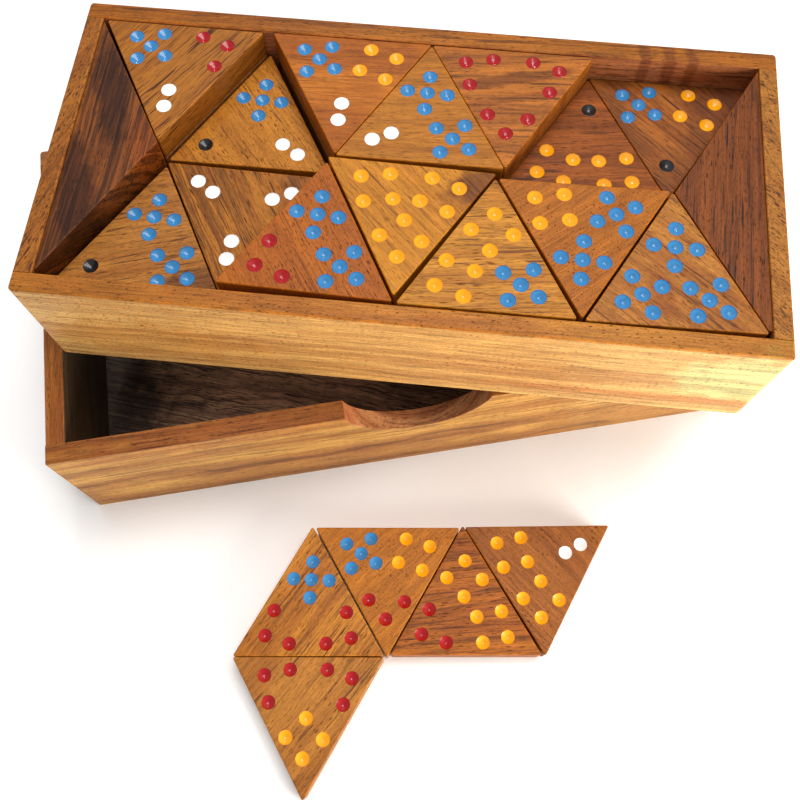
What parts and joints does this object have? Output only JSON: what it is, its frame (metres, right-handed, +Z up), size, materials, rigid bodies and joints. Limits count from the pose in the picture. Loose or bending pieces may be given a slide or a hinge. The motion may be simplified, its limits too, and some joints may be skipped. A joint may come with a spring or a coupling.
{
  "type": "triangular domino game",
  "caption": "Wooden triangular domino game: painted-pip tiles stacked in a tray that rests turned on its storage case, some tiles laid out in front.",
  "frame": {"origin": "on the ground under the centre of the case, at the middle of the case's flat underside", "axes": "+X along the case's length to the right, +Y to the back, away from the thumb notch, +Z up; the tray stands turned 15 degrees clockwise across the case's rim, and the laid-out tiles lie on the ground at -Y"},
  "size_m": [0.2624, 0.2665, 0.103],
  "materials": {
    "case_wood": "satin varnish",
    "tray_wood": "satin varnish",
    "dark_wood": "satin varnish",
    "wedge_wood": "satin varnish",
    "tile_wood": "satin varnish",
    "pip_blue": "gloss enamel paint",
    "pip_yellow": "gloss enamel paint",
    "pip_red": "gloss enamel paint",
    "pip_white": "gloss enamel paint",
    "pip_black": "gloss enamel paint"
  },
  "bodies": {
    "case": {"case_floor": "case_wood", "case_front_wall": "case_wood", "case_back_wall": "case_wood", "case_left_wall": "case_wood", "case_right_wall": "case_wood"},
    "tray": {"tray_floor": "tray_wood", "tray_front_rail": "tray_wood", "tray_back_rail": "tray_wood", "tray_left_end": "tray_wood", "tray_right_end": "tray_wood", "left_wedge": "dark_wood", "right_wedge": "wedge_wood"},
    "bottom_layer": {"bottom_layer_tiles": "tile_wood"},
    "second_back_1": {"second_back_1_tile": "tile_wood"},
    "second_back_2": {"second_back_2_tile": "tile_wood"},
    "second_back_3": {"second_back_3_tile": "tile_wood"},
    "second_back_4": {"second_back_4_tile": "tile_wood"},
    "second_back_5": {"second_back_5_tile": "tile_wood"},
    "second_back_6": {"second_back_6_tile": "tile_wood"},
    "second_back_7": {"second_back_7_tile": "tile_wood"},
    "second_front_1": {"second_front_1_tile": "tile_wood"},
    "second_front_2": {"second_front_2_tile": "tile_wood"},
    "second_front_3": {"second_front_3_tile": "tile_wood"},
    "second_front_4": {"second_front_4_tile": "tile_wood"},
    "second_front_5": {"second_front_5_tile": "tile_wood"},
    "second_front_6": {"second_front_6_tile": "tile_wood"},
    "second_front_7": {"second_front_7_tile": "tile_wood"},
    "third_back_1": {"third_back_1_tile": "tile_wood"},
    "third_back_2": {"third_back_2_tile": "tile_wood"},
    "third_back_3": {"third_back_3_tile": "tile_wood"},
    "third_back_4": {"third_back_4_tile": "tile_wood"},
    "third_back_5": {"third_back_5_tile": "tile_wood"},
    "third_back_6": {"third_back_6_tile": "tile_wood"},
    "third_back_7": {"third_back_7_tile": "tile_wood"},
    "third_front_1": {"third_front_1_tile": "tile_wood"},
    "third_front_2": {"third_front_2_tile": "tile_wood"},
    "third_front_3": {"third_front_3_tile": "tile_wood"},
    "third_front_4": {"third_front_4_tile": "tile_wood"},
    "third_front_5": {"third_front_5_tile": "tile_wood"},
    "third_front_6": {"third_front_6_tile": "tile_wood"},
    "third_front_7": {"third_front_7_tile": "tile_wood"},
    "top_back_1": {"top_back_1_tile": "tile_wood"},
    "top_back_3": {"top_back_3_tile": "tile_wood"},
    "top_back_4": {"top_back_4_tile": "tile_wood"},
    "top_back_5": {"top_back_5_tile": "tile_wood"},
    "top_front_3": {"top_front_3_tile": "tile_wood"},
    "top_front_4": {"top_front_4_tile": "tile_wood"},
    "top_front_5": {"top_front_5_tile": "tile_wood"},
    "top_front_6": {"top_front_6_tile": "tile_wood"},
    "top_front_7": {"top_front_7_tile": "tile_wood"},
    "loose_tile_1": {"loose_tile_1": "tile_wood"},
    "loose_tile_2": {"loose_tile_2": "tile_wood"},
    "loose_tile_3": {"loose_tile_3": "tile_wood"},
    "loose_tile_4": {"loose_tile_4": "tile_wood"},
    "loose_tile_5": {"loose_tile_5": "tile_wood"}
  },
  "joints": [
    {"name": "tray_lift", "type": "slide", "parent": "case", "child": "tray", "axis": [0, 0, 1], "range_m": [0, 0.08]},
    {"name": "bottom_layer_lift", "type": "slide", "parent": "tray", "child": "bottom_layer", "axis": [0, 0, 1], "range_m": [0, 0.05]},
    {"name": "second_back_1_lift", "type": "slide", "parent": "bottom_layer", "child": "second_back_1", "axis": [0, 0, 1], "range_m": [0, 0.045]},
    {"name": "second_back_2_lift", "type": "slide", "parent": "bottom_layer", "child": "second_back_2", "axis": [0, 0, 1], "range_m": [0, 0.045]},
    {"name": "second_back_3_lift", "type": "slide", "parent": "bottom_layer", "child": "second_back_3", "axis": [0, 0, 1], "range_m": [0, 0.045]},
    {"name": "second_back_4_lift", "type": "slide", "parent": "bottom_layer", "child": "second_back_4", "axis": [0, 0, 1], "range_m": [0, 0.045]},
    {"name": "second_back_5_lift", "type": "slide", "parent": "bottom_layer", "child": "second_back_5", "axis": [0, 0, 1], "range_m": [0, 0.045]},
    {"name": "second_back_6_lift", "type": "slide", "parent": "bottom_layer", "child": "second_back_6", "axis": [0, 0, 1], "range_m": [0, 0.045]},
    {"name": "second_back_7_lift", "type": "slide", "parent": "bottom_layer", "child": "second_back_7", "axis": [0, 0, 1], "range_m": [0, 0.045]},
    {"name": "second_front_1_lift", "type": "slide", "parent": "bottom_layer", "child": "second_front_1", "axis": [0, 0, 1], "range_m": [0, 0.045]},
    {"name": "second_front_2_lift", "type": "slide", "parent": "bottom_layer", "child": "second_front_2", "axis": [0, 0, 1], "range_m": [0, 0.045]},
    {"name": "second_front_3_lift", "type": "slide", "parent": "bottom_layer", "child": "second_front_3", "axis": [0, 0, 1], "range_m": [0, 0.045]},
    {"name": "second_front_4_lift", "type": "slide", "parent": "bottom_layer", "child": "second_front_4", "axis": [0, 0, 1], "range_m": [0, 0.045]},
    {"name": "second_front_5_lift", "type": "slide", "parent": "bottom_layer", "child": "second_front_5", "axis": [0, 0, 1], "range_m": [0, 0.045]},
    {"name": "second_front_6_lift", "type": "slide", "parent": "bottom_layer", "child": "second_front_6", "axis": [0, 0, 1], "range_m": [0, 0.045]},
    {"name": "second_front_7_lift", "type": "slide", "parent": "bottom_layer", "child": "second_front_7", "axis": [0, 0, 1], "range_m": [0, 0.045]},
    {"name": "third_back_1_lift", "type": "slide", "parent": "second_back_1", "child": "third_back_1", "axis": [0, 0, 1], "range_m": [0, 0.035]},
    {"name": "third_back_2_lift", "type": "slide", "parent": "second_back_2", "child": "third_back_2", "axis": [0, 0, 1], "range_m": [0, 0.035]},
    {"name": "third_back_3_lift", "type": "slide", "parent": "second_back_3", "child": "third_back_3", "axis": [0, 0, 1], "range_m": [0, 0.035]},
    {"name": "third_back_4_lift", "type": "slide", "parent": "second_back_4", "child": "third_back_4", "axis": [0, 0, 1], "range_m": [0, 0.035]},
    {"name": "third_back_5_lift", "type": "slide", "parent": "second_back_5", "child": "third_back_5", "axis": [0, 0, 1], "range_m": [0, 0.035]},
    {"name": "third_back_6_lift", "type": "slide", "parent": "second_back_6", "child": "third_back_6", "axis": [0, 0, 1], "range_m": [0, 0.035]},
    {"name": "third_back_7_lift", "type": "slide", "parent": "second_back_7", "child": "third_back_7", "axis": [0, 0, 1], "range_m": [0, 0.035]},
    {"name": "third_front_1_lift", "type": "slide", "parent": "second_front_1", "child": "third_front_1", "axis": [0, 0, 1], "range_m": [0, 0.035]},
    {"name": "third_front_2_lift", "type": "slide", "parent": "second_front_2", "child": "third_front_2", "axis": [0, 0, 1], "range_m": [0, 0.035]},
    {"name": "third_front_3_lift", "type": "slide", "parent": "second_front_3", "child": "third_front_3", "axis": [0, 0, 1], "range_m": [0, 0.035]},
    {"name": "third_front_4_lift", "type": "slide", "parent": "second_front_4", "child": "third_front_4", "axis": [0, 0, 1], "range_m": [0, 0.035]},
    {"name": "third_front_5_lift", "type": "slide", "parent": "second_front_5", "child": "third_front_5", "axis": [0, 0, 1], "range_m": [0, 0.035]},
    {"name": "third_front_6_lift", "type": "slide", "parent": "second_front_6", "child": "third_front_6", "axis": [0, 0, 1], "range_m": [0, 0.035]},
    {"name": "third_front_7_lift", "type": "slide", "parent": "second_front_7", "child": "third_front_7", "axis": [0, 0, 1], "range_m": [0, 0.035]},
    {"name": "top_back_1_lift", "type": "slide", "parent": "third_back_1", "child": "top_back_1", "axis": [0, 0, 1], "range_m": [0, 0.025]},
    {"name": "top_back_3_lift", "type": "slide", "parent": "third_back_3", "child": "top_back_3", "axis": [0, 0, 1], "range_m": [0, 0.025]},
    {"name": "top_back_4_lift", "type": "slide", "parent": "third_back_4", "child": "top_back_4", "axis": [0, 0, 1], "range_m": [0, 0.025]},
    {"name": "top_back_5_lift", "type": "slide", "parent": "third_back_5", "child": "top_back_5", "axis": [0, 0, 1], "range_m": [0, 0.025]},
    {"name": "top_front_3_lift", "type": "slide", "parent": "third_front_3", "child": "top_front_3", "axis": [0, 0, 1], "range_m": [0, 0.025]},
    {"name": "top_front_4_lift", "type": "slide", "parent": "third_front_4", "child": "top_front_4", "axis": [0, 0, 1], "range_m": [0, 0.025]},
    {"name": "top_front_5_lift", "type": "slide", "parent": "third_front_5", "child": "top_front_5", "axis": [0, 0, 1], "range_m": [0, 0.025]},
    {"name": "top_front_6_lift", "type": "slide", "parent": "third_front_6", "child": "top_front_6", "axis": [0, 0, 1], "range_m": [0, 0.025]},
    {"name": "top_front_7_lift", "type": "slide", "parent": "third_front_7", "child": "top_front_7", "axis": [0, 0, 1], "range_m": [0, 0.025]},
    {"name": "loose_tile_1_lift", "type": "slide", "parent": "case", "child": "loose_tile_1", "axis": [0, 0, 1], "range_m": [0, 0.06]},
    {"name": "loose_tile_2_lift", "type": "slide", "parent": "case", "child": "loose_tile_2", "axis": [0, 0, 1], "range_m": [0, 0.06]},
    {"name": "loose_tile_3_lift", "type": "slide", "parent": "case", "child": "loose_tile_3", "axis": [0, 0, 1], "range_m": [0, 0.06]},
    {"name": "loose_tile_4_lift", "type": "slide", "parent": "case", "child": "loose_tile_4", "axis": [0, 0, 1], "range_m": [0, 0.06]},
    {"name": "loose_tile_5_lift", "type": "slide", "parent": "case", "child": "loose_tile_5", "axis": [0, 0, 1], "range_m": [0, 0.06]}
  ]
}
